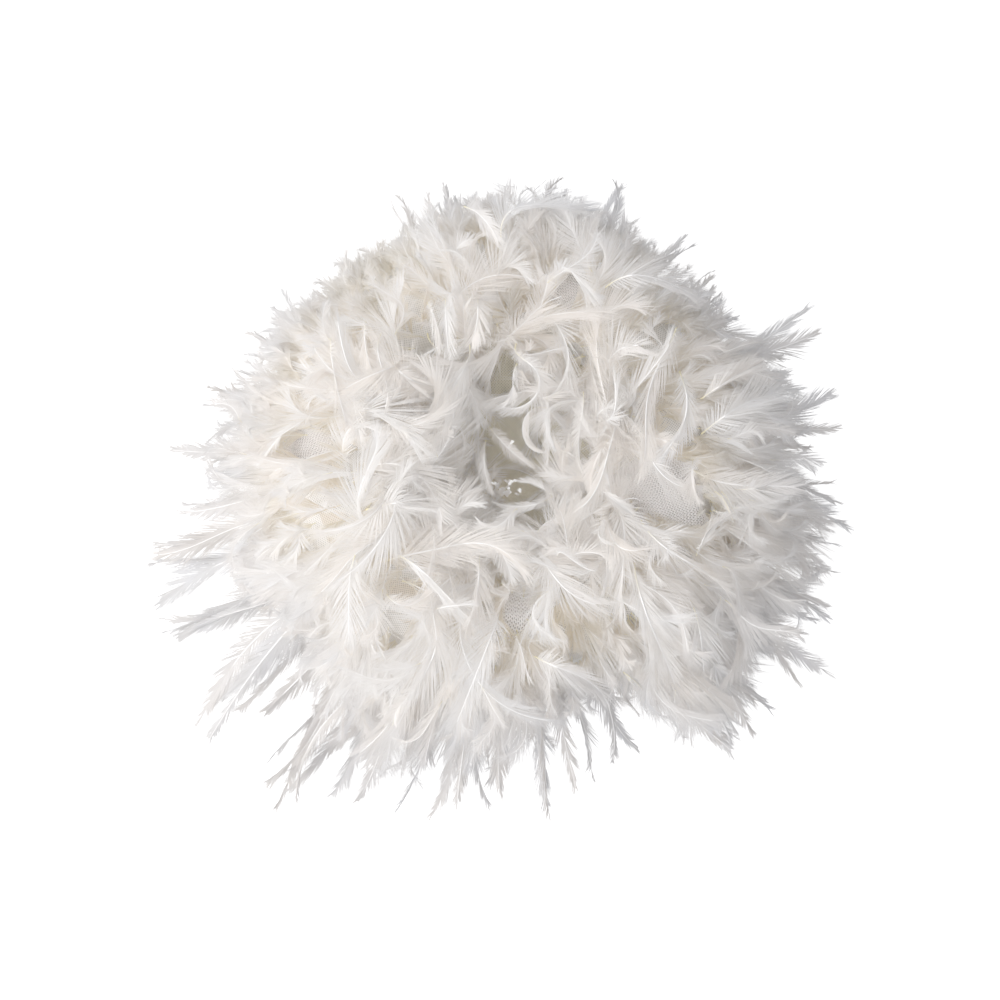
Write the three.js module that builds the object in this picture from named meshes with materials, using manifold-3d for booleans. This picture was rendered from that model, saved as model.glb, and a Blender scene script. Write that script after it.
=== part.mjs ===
// A feather boa made as a closed ring, lying flat: a knitted net tube round a soft core roll, with four rows
// of feather tufts sewn to it. Millimetres, +Z up. The origin is the centre of the outline, on the table.
// Every tuft is a plain closed lobe of the true outer shape of its bundle of feathers.

import * as THREE from 'three';
import * as BufferGeometryUtils from 'three/addons/utils/BufferGeometryUtils.js';
import Module from 'manifold-3d';

const wasm = await Module();
wasm.setup();

// ---- driving dimensions ----

// The ring: the feathers reach further towards -Y, so the ring's centre isn't the outline's centre.
const RING_CENTRE_X = 0.6;
const RING_CENTRE_Y = 24.4;
const RING_RADIUS = 102;

// The knitted tube, round above and settled flat on the table below, with its lengthwise slit underneath.
const TUBE_RADIUS = 30;
const TUBE_CENTRE_Z = 24;
const TUBE_WALL = 1.8;
const SLIT_HALF_ANGLE = 7;

// The core roll inside it.
const CORE_RADIUS = 25.4;
const CORE_FLOOR = 3.4;

// Where the ends of the roll and of the tube are joined, as a direction round the ring.
const JOIN_ANGLE = 102;
const LASHING_WIDTH = 18;
const BINDING_WIDTH = 24;
const BAND_WALL = 1.2;
const BAND_GAP = 0.9;
const BAND_END_Z = 6;

// Threads and cords.
const SEAM_THREAD_RADIUS = 1.1;
const SEAM_THREAD_Z = 1.6;
const CORD_RADIUS = 1;
const CORD_GAP = 0.4;
const CORD_END_ANGLE = 11;

// Tufts.
const TUFT_GAP = 1.6;
const ROOT_CLEARANCE = 3.2;

// How fine the faceted solids are.
const RING_STEPS = 40;
const SECTION_STEPS = 16;
const CORD_SIDES = 6;
const TUFT_SIDES = 8;
const TUFT_STEPS = 8;

// Each row of tufts. rootOnTube is where its quills are sewn, as an angle on the tube's section. heights are
// the middle line's, at even steps outwards from there to the tip. reach is how far from the ring's centre
// each tuft's tip is, going round from +X towards +Y. stagger turns the row by that share of one tuft.
const ROWS = [
  {
    name: 'outer',
    rootOnTube: -4,
    stagger: 0,
    thickness: 14,
    heights: [17.5, 12, 4],
    reach: [206, 196, 186, 174, 172, 148, 170, 200, 230, 252, 224, 224, 230, 226],
  },
  {
    name: 'upper',
    rootOnTube: 42,
    stagger: 0.5,
    thickness: 15,
    heights: [56, 51, 34],
    reach: [192, 182, 172, 164, 150, 148, 170, 194, 212, 216, 208, 208, 212, 206],
  },
  {
    name: 'top',
    rootOnTube: 104,
    stagger: 0.25,
    thickness: 15,
    heights: [80, 92, 88],
    reach: [152, 150, 146, 142, 138, 146, 154, 158, 160, 160, 158, 154],
  },
  {
    name: 'inner',
    rootOnTube: 146,
    stagger: 0,
    thickness: 12,
    heights: [58, 66, 60],
    reach: [32, 36, 41, 41, 36, 32, 36, 41, 41, 36],
  },
];

// ---- materials ----

const COLOURS = {
  feather: 0xefebe6,
  net: 0xece5dc,
  core: 0xd9cfbd,
  binding: 0xe9e2d6,
  thread: 0xf2eee6,
};

function soft(slot) {
  return new THREE.MeshStandardMaterial({ color: COLOURS[slot], roughness: 0.9, metalness: 0 });
}

// ---- helpers ----

const radians = THREE.MathUtils.degToRad;

function positionsOnly(geometry) {
  const bare = geometry.clone();
  bare.deleteAttribute('normal');
  bare.deleteAttribute('uv');
  return BufferGeometryUtils.mergeVertices(bare, 1e-4);
}

function toSolid(geometry) {
  const bare = positionsOnly(geometry);
  const vertProperties = new Float32Array(bare.attributes.position.array);
  const triVerts = new Uint32Array(bare.index.array);
  return new wasm.Manifold(new wasm.Mesh({ numProp: 3, vertProperties, triVerts }));
}

function fromSolid(solid) {
  const mesh = solid.getMesh();
  const geometry = new THREE.BufferGeometry();
  geometry.setAttribute('position', new THREE.BufferAttribute(new Float32Array(mesh.vertProperties), 3));
  geometry.setIndex(new THREE.BufferAttribute(new Uint32Array(mesh.triVerts), 1));
  geometry.computeVertexNormals();
  return geometry;
}

// A point of the settled tube's section at an angle, 0 pointing out of the ring and 90 up, at an offset
// outwards from the knitted surface. floor keeps it off the table.
function onTube(angle, offset, floor = 0) {
  const radius = TUBE_RADIUS + offset;
  const z = TUBE_CENTRE_Z + radius * Math.sin(radians(angle));
  return new THREE.Vector2(RING_RADIUS + radius * Math.cos(radians(angle)), Math.max(floor, z));
}

function sectionArc(from, to, offset, floor) {
  const points = [];
  for (let i = 0; i <= SECTION_STEPS; i += 1) {
    points.push(onTube(from + ((to - from) * i) / SECTION_STEPS, offset, floor));
  }
  return points;
}

// A section turned all the way round the ring. The section runs counter-clockwise and is closed here.
function ringOf(section) {
  const geometry = new THREE.LatheGeometry([...section, section[0].clone()], RING_STEPS);
  return geometry.rotateX(Math.PI / 2);
}

// A shell that follows the tube between two angles of its section.
function shellRing(from, to, innerOffset, outerOffset, innerFloor, outerFloor) {
  const outside = sectionArc(from, to, outerOffset, outerFloor);
  const inside = sectionArc(from, to, innerOffset, innerFloor).reverse();
  return ringOf([...outside, ...inside]);
}

// The short stretch of a ring geometry that lies at the join.
function atJoin(geometry, width) {
  const block = new THREE.BoxGeometry(4 * TUBE_RADIUS, width, 4 * TUBE_RADIUS);
  block.translate(RING_RADIUS, 0, TUBE_RADIUS);
  block.rotateZ(radians(JOIN_ANGLE));
  return fromSolid(toSolid(geometry).intersect(toSolid(block)));
}

// ---- the tube and what is inside it ----

function knitTube() {
  const from = -90 + SLIT_HALF_ANGLE;
  return shellRing(from, from + 360 - 2 * SLIT_HALF_ANGLE, -TUBE_WALL, 0, TUBE_WALL, 0);
}

function coreRoll() {
  const points = sectionArc(-90, 270, CORE_RADIUS - TUBE_RADIUS, CORE_FLOOR);
  points.pop();
  return ringOf(points);
}

// A band at the join, over the top and down both sides to where the section turns under.
function joinBand(innerOffset, width) {
  const drop = (TUBE_CENTRE_Z - BAND_END_Z) / (TUBE_RADIUS + innerOffset);
  const side = THREE.MathUtils.radToDeg(Math.asin(drop));
  const shell = shellRing(-side, 180 + side, innerOffset, innerOffset + BAND_WALL, 0, 0);
  return atJoin(shell, width);
}

function coreLashing() {
  return joinBand(CORE_RADIUS - TUBE_RADIUS + BAND_GAP, LASHING_WIDTH);
}

function joinBinding() {
  return joinBand(BAND_GAP, BINDING_WIDTH);
}

function seamThread() {
  const circle = [];
  for (let i = 0; i < CORD_SIDES; i += 1) {
    const a = (2 * Math.PI * i) / CORD_SIDES;
    const r = RING_RADIUS + SEAM_THREAD_RADIUS * Math.cos(a);
    circle.push(new THREE.Vector2(r, SEAM_THREAD_Z + SEAM_THREAD_RADIUS * Math.sin(a)));
  }
  return ringOf(circle);
}

// ---- the cords that hold the quills down, one along the roots of each row ----

function cordSection() {
  const shape = new THREE.Shape();
  for (let i = 0; i < CORD_SIDES; i += 1) {
    const a = (2 * Math.PI * i) / CORD_SIDES;
    shape[i === 0 ? 'moveTo' : 'lineTo'](CORD_RADIUS * Math.cos(a), CORD_RADIUS * Math.sin(a));
  }
  shape.closePath();
  return shape;
}

// Runs all round the ring except across the binding.
class RingArc extends THREE.Curve {
  constructor(radius, z) {
    super();
    this.radius = radius;
    this.z = z;
  }

  getPoint(t, target = new THREE.Vector3()) {
    const a = radians(JOIN_ANGLE + CORD_END_ANGLE + t * (360 - 2 * CORD_END_ANGLE));
    return target.set(this.radius * Math.cos(a), this.radius * Math.sin(a), this.z);
  }
}

function stitchCord(row) {
  const place = onTube(row.rootOnTube, CORD_GAP + CORD_RADIUS);
  const extrudePath = new RingArc(place.x, place.y);
  return new THREE.ExtrudeGeometry(cordSection(), { steps: RING_STEPS, extrudePath, curveSegments: 1 });
}

// ---- tufts ----

// A leaf's half width along its length, 1 at its widest: blunt at the root, drawn out at the tip.
function leaf(t) {
  return Math.min(1, Math.sqrt(t / 0.22)) * Math.min(1, (Math.max(0, 1 - t) / 0.52) ** 0.85);
}

// A tuft's half thickness along its length, as a share of the row's thickness.
function swell(t) {
  return Math.min(1, Math.sqrt(t / 0.3)) * Math.min(1, (Math.max(0, 1 - t) / 0.6) ** 0.8);
}

// The middle line of a row's section, for a tuft with its own reach.
function middleLine(row, reach) {
  const root = onTube(row.rootOnTube, ROOT_CLEARANCE);
  const further = row.heights.map((z, i) => {
    const share = (i + 1) / row.heights.length;
    return new THREE.Vector2(root.x + (reach - root.x) * share, z);
  });
  return new THREE.SplineCurve([root, ...further]);
}

// A sphere drawn out along the middle line: its poles are the tuft's root and tip.
function tuft(row, reach, count, direction) {
  const line = middleLine(row, reach);
  const geometry = new THREE.SphereGeometry(1, TUFT_SIDES, TUFT_STEPS);
  const position = geometry.attributes.position;
  const point = new THREE.Vector3();
  for (let i = 0; i < position.count; i += 1) {
    point.fromBufferAttribute(position, i);
    const t = Math.acos(THREE.MathUtils.clamp(point.y, -1, 1)) / Math.PI;
    const middle = line.getPoint(t);
    const along = line.getTangent(t);
    const spin = Math.atan2(point.z, point.x);
    const halfAngle = Math.PI / count - TUFT_GAP / (2 * middle.x);
    const turn = direction + halfAngle * leaf(t) * Math.cos(spin);
    const lift = -row.thickness * swell(t) * Math.sin(spin);
    const r = middle.x + lift * along.y;
    const z = middle.y - lift * along.x;
    position.setXYZ(i, r * Math.cos(turn), r * Math.sin(turn), z);
  }
  return positionsOnly(geometry);
}

// ---- assembly ----

const boa = new THREE.Group();
boa.name = 'feather_boa';
boa.position.set(RING_CENTRE_X, RING_CENTRE_Y, 0);

function add(name, slot, geometry) {
  const mesh = new THREE.Mesh(geometry, soft(slot));
  mesh.name = name;
  boa.add(mesh);
}

add('knit_tube', 'net', knitTube());
add('core_roll', 'core', coreRoll());
add('core_lashing', 'thread', coreLashing());
add('join_binding', 'binding', joinBinding());
add('seam_thread', 'thread', seamThread());

for (const row of ROWS) {
  add(`stitch_cord_${row.name}`, 'thread', stitchCord(row));
  row.reach.forEach((reach, i) => {
    const direction = (2 * Math.PI * (i + row.stagger)) / row.reach.length;
    const number = String(i + 1).padStart(2, '0');
    add(`tuft_${row.name}_${number}`, 'feather', tuft(row, reach, row.reach.length, direction));
  });
}

export default boa;
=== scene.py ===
"""A feather boa made as a closed ring: tufts of long white feathers on a knitted net tube, seen from above.

Every feather is real geometry: a rachis with barbs on both sides, grown from where its tuft is sewn on.
Lengths are in metres. The tables of places round the ring are in millimetres and degrees, from its centre.
"""

import math
from dataclasses import dataclass, replace

import bpy
import numpy as np
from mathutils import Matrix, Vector


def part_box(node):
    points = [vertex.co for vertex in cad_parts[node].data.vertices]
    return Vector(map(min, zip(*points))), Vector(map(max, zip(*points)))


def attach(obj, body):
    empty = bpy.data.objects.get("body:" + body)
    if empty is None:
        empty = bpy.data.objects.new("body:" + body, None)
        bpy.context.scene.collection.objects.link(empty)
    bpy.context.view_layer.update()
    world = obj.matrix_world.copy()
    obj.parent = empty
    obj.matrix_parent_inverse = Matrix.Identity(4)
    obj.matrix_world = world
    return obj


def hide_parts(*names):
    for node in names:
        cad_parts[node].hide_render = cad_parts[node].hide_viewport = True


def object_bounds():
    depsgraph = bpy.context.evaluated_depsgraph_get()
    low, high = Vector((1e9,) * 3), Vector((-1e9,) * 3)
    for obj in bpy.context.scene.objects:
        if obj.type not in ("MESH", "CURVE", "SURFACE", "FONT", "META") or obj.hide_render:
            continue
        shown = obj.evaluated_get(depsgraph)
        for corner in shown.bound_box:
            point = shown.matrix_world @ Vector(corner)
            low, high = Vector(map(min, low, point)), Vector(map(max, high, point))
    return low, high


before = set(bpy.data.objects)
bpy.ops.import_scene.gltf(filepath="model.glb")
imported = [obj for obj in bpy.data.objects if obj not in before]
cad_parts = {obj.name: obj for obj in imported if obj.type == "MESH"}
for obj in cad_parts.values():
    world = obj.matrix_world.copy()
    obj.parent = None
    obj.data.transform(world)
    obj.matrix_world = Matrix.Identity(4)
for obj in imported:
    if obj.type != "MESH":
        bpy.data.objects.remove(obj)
cad_low, cad_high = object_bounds()

# ---- the ring, from the frame ----

knit_low, knit_high = (np.array(corner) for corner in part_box("knit_tube"))
TUBE_RADIUS = 0.030
RING_CENTRE = (knit_low[:2] + knit_high[:2]) / 2
RING_RADIUS = (knit_high[0] - knit_low[0]) / 2 - TUBE_RADIUS
TUBE_CENTRE_Z = knit_high[2] - TUBE_RADIUS
SLIT_HALF_ANGLE = math.radians(7)
JOIN_TURN = math.radians(102)

# How feathers keep off the floor, below a ceiling and inside the size the boa may have, all softly.
FLOOR_CLEARANCE = 0.0006
FLOOR_SOFTNESS = 0.007
CEILING = 0.094
HEADROOM = 0.016
OVERREACH = 0.018

# How a feather's middle line grows. Strengths are in radians over its whole length.
PATH_STEPS = 28
WAVE_STRENGTH = 2.3
CURL_STRENGTH = 4.5
CURLED_SHARE = 0.6
CURL_FROM = 0.45
BENDING = 3.2
DROOP = 0.5
LEAST_WAY = 0.01
STRETCH = (0.55, 1.7)

# What a feather is made of.
USUAL_LENGTH = 0.08
BARB_PITCH = 0.00035
MOST_BARBS = 420
BARB_HALF_WIDTH = 0.00015
BARB_POINTS = np.array([0.0, 0.3, 0.65, 1.0])
BARB_CORNERS = 7
STRAND_PITCH = 0.0008
CLUMP_COUNTS = (6, 17)
RACHIS_RADIUS = 0.0005
RACHIS_SIDES = 4
# How far from the tube painted shade warms and darkens the barbs among the roots.
ROOT_DEPTH = 0.024
# From what share of the way to the outline painted shade makes the barbs cooler and darker.
OUTLINE_SHADE_FROM = 0.78

# What the knitting and the cords are made of. Yarn shares are its radius against the pitch of the stitches.
KNIT_PITCH = 0.0017
COARSE_PITCH = 0.0024
LOOP_STEPS = 9
YARN_SIDES = 3
YARN_SHARE = 0.25
PATCH_MARGIN = 0.020
SLACK_YARN_SHARE = 0.13
SLACK_REACH = 0.0735
SLACK_FLOOR = 0.0014
CORD_STEPS = 1400
CORD_SIDES = 5
CORD_LAY = 0.0034


# ---- kinds of feathers ----

@dataclass(kw_only=True)
class Feather:
    """Feathers of one kind in a tuft. Angles are in degrees, and pairs are the limits of a random choice."""
    feathers: int = 0
    rise: float = 0.3           # how far they leave along the surface's normal, before they bend over
    wave: float = 0.8
    curl: float = 0.5
    barb: tuple = (0.022, 0.036)
    lean: tuple = (13, 38)      # of the barbs away from the rachis, at its root
    tip_lean: tuple = (7, 20)   # and at its tip
    fold: tuple = (0, 38)
    clumping: float = 0.10
    stout: float = 1.0          # how wide the barbs are, against the usual
    horn: float = 1.0           # how much of the rachis is past the yellow quill end
    crosses: bool = False       # the partings and the hole


@dataclass(kw_only=True)
class Sewn(Feather):
    """Long feathers, sewn to the tube."""
    sewn_at: float              # on the tube's section, 0 out of the ring and 90 up
    sewn_spread: float
    reach: tuple                # of the tip, as shares of the way from the root to where the tuft ends
    climb: float = 0.0          # of the tip's heading above the horizon
    aim_spread: float = 8.0


@dataclass(kw_only=True)
class Down(Feather):
    """Small soft feathers that cling to the long ones of a tuft."""
    place: tuple = (0.15, 0.75)  # along the long feather, as shares of its length
    length: tuple = (0.026, 0.055)
    stray: float = 0.36          # how far they turn away from the long feather
    wave: float = 1.0
    curl: float = 0.7
    barb: tuple = (0.021, 0.034)
    lean: tuple = (22, 48)
    tip_lean: tuple = (12, 28)
    fold: tuple = (0, 36)
    clumping: float = 0.16


SPEAR = {"climb": -8, "rise": 0.1, "barb": (0.014, 0.020), "lean": (26, 38), "tip_lean": (12, 20),
         "fold": (0, 25), "clumping": 0.3, "stout": 1.8}
COVER = {"barb": (0.020, 0.030), "lean": (36, 66), "tip_lean": (24, 44)}
# The layers of a tuft of each row, from the lowest to the highest.
TUFTS = {
    "outer": [
        Sewn(feathers=20, sewn_at=2, sewn_spread=26, reach=(0.6, 1.0), climb=-6, rise=0.15, wave=0.6),
        Sewn(feathers=18, sewn_at=18, sewn_spread=24, reach=(0.1, 0.5), climb=-4, rise=0.2, **COVER),
        Sewn(feathers=8, sewn_at=-6, sewn_spread=12, reach=(0.86, 1.05), wave=0.45, curl=0.2, **SPEAR),
        Down(feathers=16),
    ],
    "upper": [
        Sewn(feathers=22, sewn_at=46, sewn_spread=26, reach=(0.45, 1.0), rise=0.4, wave=0.7),
        Down(feathers=20),
    ],
    "top": [
        Sewn(feathers=20, sewn_at=98, sewn_spread=34, reach=(0.35, 1.0), climb=10, rise=0.4, curl=0.6,
             aim_spread=14),
        Sewn(feathers=6, sewn_at=118, sewn_spread=20, reach=(-0.9, -0.4), climb=18, rise=0.6,
             wave=1.3, curl=1.0, aim_spread=40),
        Down(feathers=22),
    ],
    "inner": [
        Sewn(feathers=9, sewn_at=138, sewn_spread=20, reach=(0.5, 1.1), climb=14, rise=0.5,
             wave=1.3, curl=1.0, aim_spread=25),
        Sewn(feathers=10, sewn_at=176, sewn_spread=24, reach=(0.7, 1.9), climb=-14, rise=0.4,
             wave=1.2, curl=0.8, aim_spread=30),
        Sewn(feathers=8, sewn_at=140, sewn_spread=16, reach=(-1.1, -0.4), climb=26, rise=0.7,
             wave=1.0, curl=0.6, aim_spread=24),
        Down(feathers=16),
    ],
}
WISP = Sewn(sewn_at=-10, sewn_spread=6, reach=(0.94, 1.03), wave=0.35, curl=0.15, **SPEAR)
CURL = Feather(barb=(0.018, 0.027), lean=(18, 38), tip_lean=(9, 22), fold=(0, 40), crosses=True)
HOLE_CURL = Feather(barb=(0.010, 0.015), lean=(30, 54), tip_lean=(16, 32), fold=(20, 60), crosses=True)
QUILL_END = Feather(barb=(0.006, 0.009), fold=(20, 60), horn=0.08, crosses=True)


# ---- places round the ring ----

def in_metres(table):
    """A table of directions in degrees and distances in millimetres, with its distances in metres."""
    return [(direction, distance / 1000) for direction, distance in table]


# Single flat feathers that stick out further than the rest: direction, and reach.
WISPS = [(6, 203), (23, 207), (37, 166), (41, 172), (50, 176), (67, 182), (81, 172), (103, 170),
         (113, 172), (128, 152), (147, 166), (157, 170), (168, 184), (179, 199), (189, 196), (196, 215),
         (202, 225), (206, 232), (212, 226), (217, 250), (222, 226), (228, 215), (233, 251), (237, 236),
         (241, 240), (248, 228), (256, 222), (263, 217), (270, 202), (278, 217), (284, 206), (292, 196),
         (306, 226), (312, 228), (318, 230), (323, 234), (329, 214), (334, 222), (342, 217), (348, 214),
         (356, 205)]
# How far the lowest feathers reach, by direction, and the rows that end there: the others end further in.
EDGE = in_metres([(0, 187), (7, 183), (16, 180), (22, 175), (31, 158), (41, 149), (50, 157), (58, 160),
                  (67, 162), (77, 168), (86, 163), (101, 160), (112, 152), (121, 139), (132, 139),
                  (148, 154), (156, 161), (167, 174), (175, 176), (182, 178), (192, 177), (198, 173),
                  (207, 179), (217, 171), (223, 172), (232, 187), (237, 202), (246, 208), (258, 195),
                  (268, 188), (276, 174), (284, 156), (294, 155), (300, 175), (305, 207), (310, 220),
                  (316, 211), (322, 205), (328, 177), (333, 208), (342, 206), (346, 204), (353, 188)])
ROW_AT_EDGE = {"outer": 1.0, "upper": 0.96}
INSIDE_EDGE = 0.014
# How far the feathers lean round the ring, away from straight outwards, by direction.
SWIRL = [(0, -14), (45, -16), (80, -4), (110, 10), (150, 8), (180, 2), (220, 4), (250, 0), (290, -4),
         (330, -12)]
# How high the top of the feathers is, by distance.
TOP_AT = [(0, 50), (30, 62), (50, 82), (70, 100), (125, 102), (150, 85), (175, 55), (200, 30)]


@dataclass
class Opening:
    """A ragged ellipse between the feathers, where none is higher than a given height."""
    centre: np.ndarray
    half: np.ndarray
    tilt: float
    above: float


def openings(above, table):
    """Openings from a table of their centre's x and y, their half sizes and their tilt."""
    return [Opening(np.array(row[:2]) / 1000, np.array(row[2:4]) / 1000, row[4], above) for row in table]


# Where the feathers part and show the knitting, which bulges out in the first.
PARTING_FLOOR = 0.036
PARTINGS = openings(PARTING_FLOOR, [(99, -25, 23, 12, -35), (9, -93, 6, 13, 10), (40, 99, 5, 10, -14),
    (-118, 4, 7, 6, 8)])
PARTING_SWELL = 0.010
SWELLING = replace(PARTINGS[0], above=TUBE_CENTRE_Z)
# Smaller gaps between the feathers over the tube.
GAP_FLOOR = 0.050
GAPS = openings(GAP_FLOOR, [(107, -10, 6, 9, 0), (-104, -37, 9, 3, 0), (-107, -52, 6, 3, 0),
    (-59, -80, 12, 5, 8), (-58, -101, 4, 3, 0), (-38, -130, 4, 12, 0), (79, -98, 6, 4, 0),
    (-37, 73, 3, 8, 15), (-20, 95, 3, 3, 0), (110, -58, 6, 4, 0), (95, 73, 5, 5, 0), (47, 56, 6, 3, 0)])
# Gaps over the hole, which go down to the slack net.
HOLE_FLOOR = 0.011
HOLE_GAPS = openings(HOLE_FLOOR, [(1, 9, 9, 16, -15), (7, -19, 15, 9, 0), (4, 55, 6, 7, 0),
    (1, 43, 8, 5, 0), (15, 27, 11, 5, 35), (22, -38, 9, 4, 15), (48, 7, 4, 4, 0)])
OPENINGS = [*PARTINGS, *GAPS, *HOLE_GAPS]
# How much darker painted shade makes the cloth in the gaps and the hole, as a share of how dark it makes it
# under the loops.
GAP_SHADE = 0.4
# Ladders in the slack net: x, y and size.
LADDERS = [(2, -22, 3), (0.5, -19.5, 1.8), (-2, -17.5, 1.8), (-4.5, -16, 1.4), (-6.5, -19, 1.3),
           (3, -14.5, 1.4), (5.5, -15.5, 1.7), (8, -14.5, 1.2), (-3, -21, 1.4), (4.5, -18.5, 1.3),
           (11.5, -20.5, 1.4), (10, -22.5, 1), (5, 6, 1.6), (6.5, 9, 1.3), (-0.5, -14.5, 1)]
# Single feathers that lie on top and curl over, as points on their way. These cross the hole.
HOLE_CURLS = [
    [(9, 67), (16, 55), (23, 43), (17, 32), (2, 29), (-10, 31)],
    [(-7, 18), (4, 5), (19, -7)],
    [(31, -24), (20, -17), (10, -15)],
    [(31, -24), (13, -30), (-5, -27)],
    [(28, 29), (14, 22), (15, 8), (26, 2)],
    [(26, 43), (29, 22), (28, -4)],
    [(49, 38), (47, 19), (46, 1), (50, -11)],
    [(-9, 10), (-10, -5), (-5, -22)],
    [(-41, -2), (-32, -11), (-35, -28)],
]
# These lie over the tube.
CURLS = [
    [(64, 10), (55, -5), (53, -20)],
    [(55, -17), (66, -26), (75, -33)],
    [(106, 50), (109, 34), (107, 19), (98, 4), (92, -7)],
    [(104, 76), (92, 52), (86, 34), (85, 10), (82, -8)],
    [(119, 34), (137, 46), (155, 55)],
    [(86, 4), (92, -8), (103, -17), (112, -19)],
    [(114, -2), (112, -14), (116, -26)],
    [(119, 13), (134, 25), (152, 34), (175, 37)],
    [(140, -20), (155, -19), (175, -16)],
    [(116, -59), (122, -44), (131, -37)],
    [(83, -38), (95, -53), (119, -68), (137, -86)],
    [(0, 130), (4, 143), (23, 148), (53, 145)],
    [(62, 100), (80, 106), (98, 102), (116, 94)],
    [(32, 100), (38, 110), (46, 103), (56, 95)],
    [(-61, -59), (-46, -68), (-32, -82), (-19, -95)],
    [(-44, -94), (-38, -109), (-43, -125), (-52, -143)],
    [(-13, -59), (-14, -80), (-20, -101)],
    [(20, -119), (35, -125), (53, -134), (62, -145)],
    [(79, -64), (83, -86), (98, -122), (106, -143)],
    [(124, -119), (133, -134), (140, -146)],
    [(113, -86), (119, -110), (122, -134), (128, -164)],
    [(-80, -32), (-61, -28), (-37, -34), (-25, -44), (-31, -53)],
    [(-68, -82), (-56, -88), (-44, -82)],
    [(-19, 67), (-20, 55), (-31, 37), (-38, 19), (-44, 4)],
    [(-71, 73), (-71, 55), (-67, 40), (-68, 28)],
    [(-80, 80), (-79, 61), (-71, 40)],
    [(-101, 70), (-98, 49), (-91, 20)],
    [(-64, 55), (-52, 44), (-40, 41)],
    [(-44, 91), (-37, 73), (-36, 64)],
    [(-33, 94), (-32, 76), (-31, 61)],
    [(-22, 149), (-10, 139), (-2, 127)],
    [(-14, 94), (-14, 79), (-17, 67)],
]
# Bare quill ends that show between the feathers.
QUILL_ENDS = [
    [(127, -21), (132, -28), (135, -36)],
    [(129, -22), (133, -30), (137, -39)],
    [(131, -21), (135, -29), (138, -35)],
    [(133, -23), (136, -31), (140, -38)],
    [(73, -129), (80, -134), (84, -139)],
    [(75, -132), (81, -136)],
]

# ---- the studio ----

# For each gradient of the light all round: its direction, and its strength from behind and from ahead.
SIDE_LIGHT = ((-0.98, -0.16, 0.0), 0.0, 1.4)
TOP_LIGHT = ((0.0, 0.0, 1.0), 0.64, 1.08)
KEY_PLACE = (-0.53, -0.05, 0.42)
KEY_SIZE = 0.7
KEY_POWER = 5.1
FLOOR_GLOW = 1.0
CAMERA_HEIGHT = 2.4
FRAME_WIDTH = 0.6
SENSOR_WIDTH = 36


# ---- shared geometry ----

def unit(v):
    """Vectors of length 1."""
    return v / np.maximum(np.linalg.norm(v, axis=-1, keepdims=True), 1e-12)


def on_ring(rho, turn, z):
    """Points at a distance from the ring's axis, a direction round it and a height."""
    x = RING_CENTRE[0] + rho * np.cos(turn)
    y = RING_CENTRE[1] + rho * np.sin(turn)
    return np.stack([x, y, np.broadcast_to(z, np.shape(x))], axis=-1)


def tube_surface(turn, angle, offset):
    """Points of the tube's surface, and its normals there. angle is 0 out of the ring and 90 degrees up."""
    radius = TUBE_RADIUS + offset
    points = on_ring(RING_RADIUS + radius * np.cos(angle), turn, TUBE_CENTRE_Z + radius * np.sin(angle))
    normals = np.stack([np.cos(angle) * np.cos(turn), np.cos(angle) * np.sin(turn), np.sin(angle)], axis=-1)
    return points, normals


def out_of_tube(points, clearance):
    """Moves points that are inside the tube out to its surface, and off the floor."""
    flat = points[..., :2] - RING_CENTRE
    rho = np.maximum(np.linalg.norm(flat, axis=-1), 1e-6)
    across, up = rho - RING_RADIUS, points[..., 2] - TUBE_CENTRE_Z
    depth = np.maximum(np.hypot(across, up), 1e-6)
    grow = np.maximum((TUBE_RADIUS + clearance) / depth, 1.0)
    new_rho = RING_RADIUS + across * grow
    moved = points.copy()
    moved[..., :2] = RING_CENTRE + flat * (new_rho / rho)[..., None]
    moved[..., 2] = TUBE_CENTRE_Z + up * grow
    return between_floor_and_ceiling(moved)


def round_ring(table, direction):
    """The value of a table of directions in degrees and values, for directions in radians."""
    degrees, values = np.array(table).T
    return np.interp(np.degrees(direction) % 360, degrees, values, period=360)


def surroundings(points):
    """How deep points lie among the roots, and how near the outline they are, both from 0 to 1: the masks of
    the painted shade on the barbs.
    """
    flat = points[..., :2] - RING_CENTRE
    rho = np.linalg.norm(flat, axis=-1)
    off_tube = np.hypot(rho - RING_RADIUS, points[..., 2] - TUBE_CENTRE_Z) - TUBE_RADIUS
    edge = round_ring(EDGE, np.arctan2(flat[..., 1], flat[..., 0]))
    return np.clip(1 - off_tube / ROOT_DEPTH, 0, 1), np.clip((rho / edge - OUTLINE_SHADE_FROM) / (1 - OUTLINE_SHADE_FROM), 0, 1)


def in_opening(points, places=tuple(OPENINGS)):
    """How deep points lie in an opening: 1 in its middle, 0 at its edge, less outside and below it."""
    depth = np.full(points.shape[:-1], -1.0)
    for place in places:
        offset = points[..., :2] - RING_CENTRE - place.centre
        near = (np.abs(offset).max(-1) < 2.4 * max(place.half)) & (points[..., 2] > place.above)
        c, s = math.cos(math.radians(place.tilt)), math.sin(math.radians(place.tilt))
        turned = offset[near] @ np.array([[c, -s], [s, c]]) / place.half
        bearing = np.arctan2(turned[:, 1], turned[:, 0])
        ragged = 1 + 0.16 * np.sin(3 * bearing + place.tilt) + 0.1 * np.sin(5 * bearing + 2)
        depth[near] = np.maximum(depth[near], 1 - np.linalg.norm(turned, axis=-1) / ragged)
    return depth


def swell_at(points):
    """How far the knitting bulges out in the largest parting."""
    inside = np.clip(in_opening(points, [SWELLING]) + 0.7, 0, 1)
    return PARTING_SWELL * inside ** 2 * (3 - 2 * inside)


def within_reach(points):
    """Draws in softly what reaches past the size the boa may have."""
    for axis in (0, 1):
        middle, half = (cad_low[axis] + cad_high[axis]) / 2, (cad_high[axis] - cad_low[axis]) / 2
        away = points[..., axis] - middle
        over = OVERREACH * np.tanh(np.maximum(np.abs(away) - half, 0) / OVERREACH)
        points[..., axis] = middle + np.sign(away) * (np.minimum(np.abs(away), half) + over)
    return points


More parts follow.
